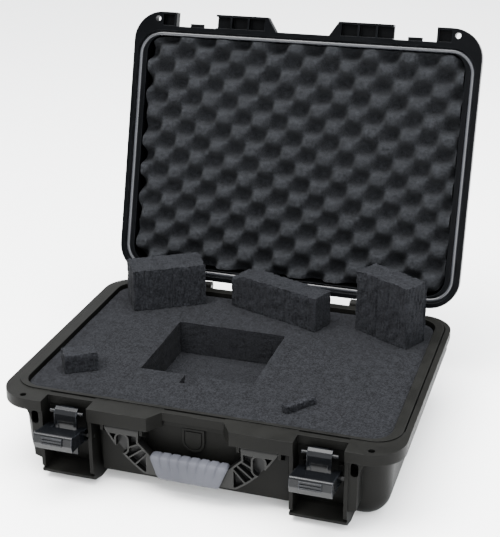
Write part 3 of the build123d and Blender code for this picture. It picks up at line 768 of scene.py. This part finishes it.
@dataclass
class LidFoam:
    """The egg-crate foam of the lid: peaks and hollows on a skewed lattice."""

    palette: Palette
    step: float = 2.6 * MM
    across: tuple[float, float] = (53.8 * MM, 1.2 * MM)       # one hollow to the next in a row
    slant: tuple[float, float] = (23.3 * MM, 22.2 * MM)       # one hollow to the next row's
    first: tuple[float, float] = (-174 * MM, -144 * MM)       # one hollow of the first row
    half: float = 229 * MM
    front: float = -167 * MM
    back: float = 163 * MM
    peak: float = RIM + 2.5 * MM
    roof: float = RIM + 51.9 * MM               # where the foam meets the lid's ceiling
    swing: float = 25 * MM                      # peak to hollow
    flat: float = 0.12                          # share of the wave that is cut off to leave a flat peak

    def build(self) -> None:
        """Make the foam, swung open.

        A smooth step of the sum of two cosines along the lattice's own directions gives the depth, which
        fades to nothing at the ceiling.
        """
        x, y = between([-self.half, self.half], self.step), between([self.front, self.back], self.step)
        points, quads, _ = Slab(x, y, self.peak, self.roof, 8, FOAM_CORNER).build()
        lattice = np.linalg.inv(np.column_stack([self.slant, np.subtract(self.across, self.slant)]))
        drift = np.stack([wave_noise(points[0], 90 * MM, seed) for seed in (31, 32)], -1)
        place = points[0, ..., :2] + 1.1 * MM * drift
        turns = (place - np.array(self.first)) @ lattice.T
        wave = (np.cos(math.tau * turns[..., 0]) + np.cos(math.tau * turns[..., 1])) / 4 + 0.5
        wave = np.clip((wave - self.flat) / (1 - self.flat), 0, 1)
        wave = wave * wave * (3 - 2 * wave)
        depth = self.swing * wave + wave_noise(points[0], 30 * MM, 33) * 0.6 * MM
        rise = np.linspace(0, 1, points.shape[0])[:, None, None]
        points[..., 2] += depth * (1 - rise) * (1 - rise**2)
        piece = mesh_piece("egg_crate_foam", *compact(swing_open(points), quads))
        dress(piece, self.palette.crate)
        sharpen(piece, 50)
        settle(piece, "lid", Finish.FOAM, "lid_foam")


@dataclass
class LooseBlock:
    """A block of foam pulled out of the pocket, standing on the foam."""

    palette: Palette
    name: str
    corner: tuple[float, float]      # front left corner in millimetres
    turn: float                      # degrees
    size: tuple[float, float, float]  # length, thickness, height in millimetres
    seed: int
    torn: float = 0.0                # how far the left end of the top is torn down, in millimetres
    base: float = 104.4 * MM         # top of the foam that it stands on
    rim_back: float = 164.5 * MM     # past this on Y the block stands on the rear rim
    rim_top: float = RIM + 2.2 * MM
    cube_step: float = 1.6 * MM      # how far one cube's torn face stands from the next one's
    cut: float = 1.2 * MM            # depth of the cut between two cubes
    torn_share: float = 0.16         # share of the length over which the top is torn down

    def tear_sides(self, points: np.ndarray, outward: np.ndarray, level: np.ndarray) -> None:
        """Give the sides the torn columns of the cubes: steps, cuts, upright ridges and ragged upper edges.

        Args:
            points: The block's vertices, changed in place.
            outward: Outward direction of each side vertex.
            level: Share of the height, 0 at the foot.
        """
        columns = side_run(points, outward) / CUBE
        rough = (cell_value(np.floor(columns), self.seed) - 0.8) * self.cube_step
        rough -= np.clip(1 - np.abs(np.modf(columns + 0.5)[0] - 0.5) / 0.05, 0, 1) * self.cut
        ridges = points * np.array([1.0, 1.0, 0.15])
        rough += wave_noise(ridges, 5 * MM, self.seed) * 1.1 * MM
        rough += wave_noise(points, 14 * MM, self.seed + 1) * 0.9 * MM
        upper_edge = np.clip(level * 9 - 8, 0, 1)
        rough -= np.abs(wave_noise(points, 4.5 * MM, self.seed + 5)) * upper_edge * 2.0 * MM
        push(points, outward, np.minimum(rough, 0.3 * MM))

    def tear_top(self, points: np.ndarray, level: np.ndarray) -> None:
        """Roughen the top, and tear its left end down if the block says so.

        Args:
            points: The block's vertices, changed in place.
            level: Share of the height, 0 at the foot.
        """
        top = wave_noise(points, 6 * MM, self.seed + 2) * 0.8 * MM - 1.0 * MM
        if self.torn:
            reach = np.clip(1 - points[..., 0] / (self.size[0] * MM * self.torn_share), 0, 1)
            top -= self.torn * MM * reach * (0.7 + 0.3 * wave_noise(points, 9 * MM, self.seed + 3))
        points[..., 2] += np.clip(level * 2 - 1, 0, 1) * top

    def stand(self, points: np.ndarray) -> None:
        """Turn the block, put it on the foam and rest its back on the rear rim.

        Args:
            points: The block's vertices, changed in place.
        """
        turn = math.radians(self.turn)
        x, y = points[..., 0].copy(), points[..., 1].copy()
        points[..., 0] = self.corner[0] * MM + x * math.cos(turn) - y * math.sin(turn)
        points[..., 1] = self.corner[1] * MM + x * math.sin(turn) + y * math.cos(turn)
        points[..., 2] += self.base
        over_rim = (points[..., 1] > self.rim_back) & (points[..., 2] < self.rim_top)
        points[..., 2] = np.where(over_rim, self.rim_top, points[..., 2])

    def build(self) -> None:
        """Make the block: a slab with torn sides and top, standing on the foam with its back resting on the
        rear rim.
        """
        length, thick, tall = (s * MM for s in self.size)
        step = min(2.2 * MM, thick / 6)
        rows = max(8, round(tall / (2.4 * MM)))
        slab = Slab(between([0, length], step), between([0, thick], step), 0.0, tall, rows)
        points, quads, outward = slab.build()
        level = np.linspace(0, 1, points.shape[0])[:, None, None]
        self.tear_sides(points, outward, level)
        self.tear_top(points, level)
        self.stand(points)
        node = f"foam_block_{self.name}"
        piece = mesh_piece(f"loose_block_{self.name}", *compact(points, quads))
        dress(piece, self.palette.block)
        sharpen(piece)
        settle(piece, f"{node}_body", Finish.FOAM, node)
        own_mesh(piece)


@dataclass
class Grip:
    """The soft grip over the bow's bar: a rounded sleeve, longer at its top, with fading grooves."""

    palette: Palette
    half_top: float = 49 * MM
    half_low: float = 37.5 * MM
    low: float = RIM - 81 * MM
    high: float = RIM - 50 * MM
    front: float = -203.5 * MM
    back: float = -184.5 * MM
    grooves: int = 8
    groove: float = 1.3 * MM         # how deep a groove is
    width: float = 0.11              # its half width, as a share of the pitch
    square: float = 0.45             # power of the section: 1 is an ellipse, less is boxier

    def rings(self, around: int, along: int) -> np.ndarray:
        """Work the sleeve out: a superellipse section carried along X, with bell-shaped grooves.

        Args:
            around: Vertices round the section.
            along: Sections along X.

        Returns:
            Vertices of shape (along, around, 3).
        """
        v = np.linspace(0, math.tau, around, endpoint=False)
        cy, cz = (self.front + self.back) / 2, (self.low + self.high) / 2
        hy, hz = (self.back - self.front) / 2, (self.high - self.low) / 2
        sy = np.sign(np.cos(v)) * np.abs(np.cos(v)) ** self.square
        sz = np.sign(np.sin(v)) * np.abs(np.sin(v)) ** self.square
        gu, gy = np.meshgrid(np.linspace(-1, 1, along), sy, indexing="ij")
        gz = np.broadcast_to(sz, gu.shape)
        fade = np.clip((gz + 0.35) / 0.9, 0, 1) ** 0.8
        place = gu * self.grooves / 2
        dip = np.exp(-((place - np.round(place)) / self.width) ** 2)
        ends = np.sqrt(np.clip(1 - np.abs(gu) ** 16, 0, 1))
        swell = 1 + 0.03 * (1 - gu * gu)
        inward = dip * fade * self.groove
        y = cy + hy * gy * (0.9 + 0.1 * ends) * swell - gy * inward
        z = cz + hz * gz * (0.94 + 0.06 * ends) - gz * inward
        half = self.half_low + (self.half_top - self.half_low) * (gz + 1) / 2
        return np.stack([gu * half, y, z], -1)

    def build(self) -> None:
        """Make the sleeve and shut its two ends with a fan round a point in the middle."""
        around, along = 72, 161
        number = np.arange(along * around).reshape(along, around)
        nxt = np.roll(number, -1, axis=1)
        quads = np.stack([number[:-1], number[1:], nxt[1:], nxt[:-1]], -1).reshape(-1, 4)
        middle = (self.half_low + self.half_top) / 2
        cy, cz = (self.front + self.back) / 2, (self.low + self.high) / 2
        caps = np.array([[-middle, cy, cz], [middle, cy, cz]])
        first, last = along * around, along * around + 1
        ends_a = np.stack([number[0], nxt[0], np.full(around, first)], 1)
        ends_b = np.stack([nxt[-1], number[-1], np.full(around, last)], 1)
        vertices = np.concatenate([self.rings(around, along).reshape(-1, 3), caps])
        piece = mesh_piece("ribbed_grip", vertices, quads, np.concatenate([ends_a, ends_b]))
        recalculate(piece)
        dress(piece, self.palette.grip)
        sharpen(piece, 45)
        settle(piece, "handle", Finish.GRIP, "handle_grip")


@dataclass
class Shells:
    """The parts of the frame that keep their shape and get their finishes."""

    palette: Palette

    def build(self) -> None:
        """Give each kept node its material."""
        kept = {
            "base_shell": self.palette.shell,
            "lid_shell": self.palette.lid,
            "lid_gasket": self.palette.seal,
            "handle_frame": self.palette.bow,
            "valve_cover": self.palette.shell,
            "valve_body": self.palette.shell,
            "valve_membrane": self.palette.seal,
        }
        for side in SIDES:
            for part in ("lever", "lock", "claw"):
                kept[f"latch_{part}_{side}"] = self.palette.latch
            kept[f"hinge_pin_{side}"] = self.palette.steel
            for pin in ("handle_pin", "latch_pin"):
                kept[f"{pin}_{side}"] = self.palette.dark_steel
        for node, material in kept.items():
            dress(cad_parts[node], material)
            log.info("%s keeps its shape", node)


def placed(right: np.ndarray, up: np.ndarray, back: np.ndarray, place: tuple) -> Matrix:
    """A matrix that stands something at a place, from its own three directions."""
    return Matrix([[right[k], up[k], back[k], place[k]] for k in range(3)] + [[0, 0, 0, 1]])


@dataclass
class Studio:
    """Camera, lights and the pale floor."""

    place: tuple[float, ...] = (0.45155, -1.39216, 0.84069)
    azimuth: float = math.radians(19.154)
    elevation: float = math.radians(21.933)
    roll: float = math.radians(0.711)
    lens: float = 83.83
    shift: tuple[float, float] = (0.0645, -0.0356)
    middle: tuple[float, ...] = (0.0, 0.0, 0.1)      # what the lights look at
    overhead: float = 3.8                            # how much brighter the room is overhead
    level: float = 1.1                               # its brightness at the level of the eye

    def camera(self) -> None:
        """The camera, turned by azimuth, elevation and roll."""
        data = bpy.data.cameras.new("camera")
        data.sensor_width, data.lens = 36.0, self.lens
        data.shift_x, data.shift_y = self.shift
        data.clip_start, data.clip_end = 0.05, 50.0
        camera = bpy.data.objects.new("camera", data)
        a, e, r = self.azimuth, self.elevation, self.roll
        right = np.array([math.cos(a), math.sin(a), 0.0])
        back = np.array([math.sin(a) * math.cos(e), -math.cos(a) * math.cos(e), math.sin(e)])
        up = np.cross(back, right)
        right, up = math.cos(r) * right - math.sin(r) * up, math.sin(r) * right + math.cos(r) * up
        camera.matrix_world = placed(right, up, back, self.place)
        bpy.context.scene.collection.objects.link(camera)
        bpy.context.scene.camera = camera

    def area(self, name: str, place: tuple, size: float, power: float, colour: tuple) -> None:
        """One soft light that looks at the middle of the case.

        Args:
            name: Name of the light.
            place: Where it stands.
            size: Side of its square in metres.
            power: Watts.
            colour: Its colour.
        """
        data = bpy.data.lights.new(name, "AREA")
        data.size, data.energy, data.color = size, power, colour
        light = bpy.data.objects.new(name, data)
        back = np.subtract(place, self.middle)
        back = back / np.linalg.norm(back)
        right = np.cross((0, 0, 1), back)
        right = right / np.linalg.norm(right)
        up = np.cross(back, right)
        light.matrix_world = placed(right, up, back, place)
        bpy.context.scene.collection.objects.link(light)

    def floor(self) -> None:
        """A wide pale floor under the case."""
        reach, top = 6.0, -0.5 * MM
        steps = np.linspace(-reach, reach, 3)
        gx, gy = np.meshgrid(steps, steps, indexing="ij")
        points = np.stack([gx, gy, np.full_like(gx, top)], -1).reshape(-1, 3)
        number = np.arange(9).reshape(3, 3)
        quads = np.stack([number[:-1, :-1], number[1:, :-1], number[1:, 1:], number[:-1, 1:]], -1)
        floor = mesh_piece("floor", points, quads.reshape(-1, 4))
        material = bpy.data.materials.new("pale_floor")
        material.use_nodes = True
        shader = material.node_tree.nodes["Principled BSDF"]
        shader.inputs["Base Color"].default_value = (0.86, 0.86, 0.85, 1.0)
        shader.inputs["Roughness"].default_value = 0.6
        dress(floor, material)

    def build(self) -> None:
        """Make the camera, the lights, the floor and the pale surroundings."""
        self.camera()
        self.floor()
        self.area("key", (-0.9, -1.0, 2.3), 1.3, 150.0, (1.0, 0.985, 0.96))
        self.area("fill", (1.9, -1.2, 1.4), 1.4, 34.0, (0.92, 0.96, 1.0))
        self.area("front", (0.7, -2.4, 0.8), 1.2, 60.0, (1.0, 1.0, 1.0))
        self.area("top", (0.1, -0.1, 2.4), 1.8, 200.0, (1.0, 1.0, 1.0))
        self.room()

    def room(self) -> None:
        """Pale surroundings: brighter overhead than at the level of the eye."""
        world = bpy.data.worlds.new("pale_room")
        world.use_nodes = True
        sheet = NodeSheet(world.node_tree)
        rise = sheet.node("SeparateXYZ", {0: sheet.node("TexCoord").outputs["Generated"]}).outputs["Z"]
        overhead = sheet.maths("MULTIPLY", sheet.ramp(rise, 0.0, 1.0), self.overhead)
        strength = sheet.maths("ADD", overhead, self.level)
        background = world.node_tree.nodes["Background"]
        background.inputs["Color"].default_value = (0.95, 0.97, 1.0, 1.0)
        sheet.tree.links.new(strength, background.inputs["Strength"])
        bpy.context.scene.world = world


def main() -> None:
    """Build the studio and the case in order."""
    palette = Palette()
    Studio().build()
    Shells(palette).build()
    CaseFoam(palette).build()
    LidFoam(palette).build()
    blocks = (
        LooseBlock(palette, "left", (-182.3, 80.8), 31.6, (104, 53, 60), 41),
        LooseBlock(palette, "middle", (-59.4, 142.8), -20.4, (146, 37, 49), 42, torn=9.0),
        LooseBlock(palette, "right", (124.5, 119.5), -29.3, (90, 39.5, 86), 43),
        LooseBlock(palette, "small", (-193.8, -122.1), 33.1, (44, 28, 25), 44),
        LooseBlock(palette, "bar", (102.2, -135.7), 53.7, (45, 10, 9.5), 45),
    )
    for block in blocks:
        block.build()
    Grip(palette).build()
    bpy.context.view_layer.update()


if __name__ == "__main__":
    main()
